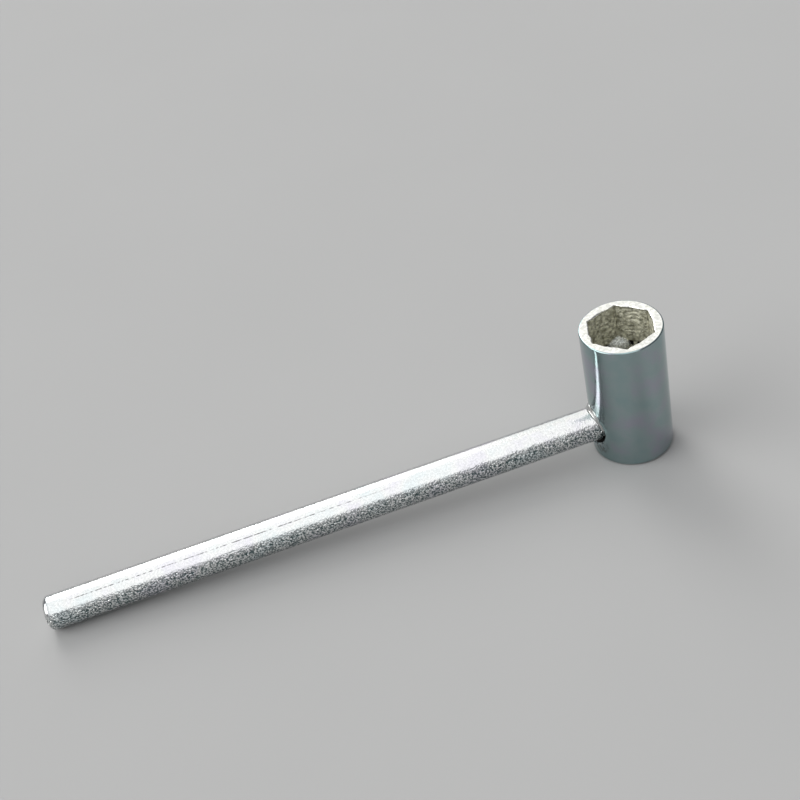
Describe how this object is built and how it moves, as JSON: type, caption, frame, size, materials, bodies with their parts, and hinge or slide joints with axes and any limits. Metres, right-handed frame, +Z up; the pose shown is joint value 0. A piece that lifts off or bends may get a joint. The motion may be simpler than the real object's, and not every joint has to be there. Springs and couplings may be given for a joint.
{
  "type": "guitar truss rod wrench",
  "caption": "Right-angle guitar truss rod wrench: round bar handle welded into the side of a turned socket with a broached hexagonal recess, zinc plated.",
  "frame": {"origin": "centre of the socket's flat base", "axes": "+Z up the socket's axis to the hexagon's mouth, handle along -X, so +X is the long direction"},
  "size_m": [0.0888, 0.011, 0.0201],
  "materials": {
    "socket_zinc": "bright blue-passivated zinc plate over turned steel",
    "handle_zinc": "grainy zinc plate over drawn round bar",
    "weld_zinc": "dull zinc plate over weld metal"
  },
  "bodies": {
    "root": {"socket": "socket_zinc", "handle_rod": "handle_zinc", "weld_bead": "weld_zinc"}
  },
  "joints": []
}
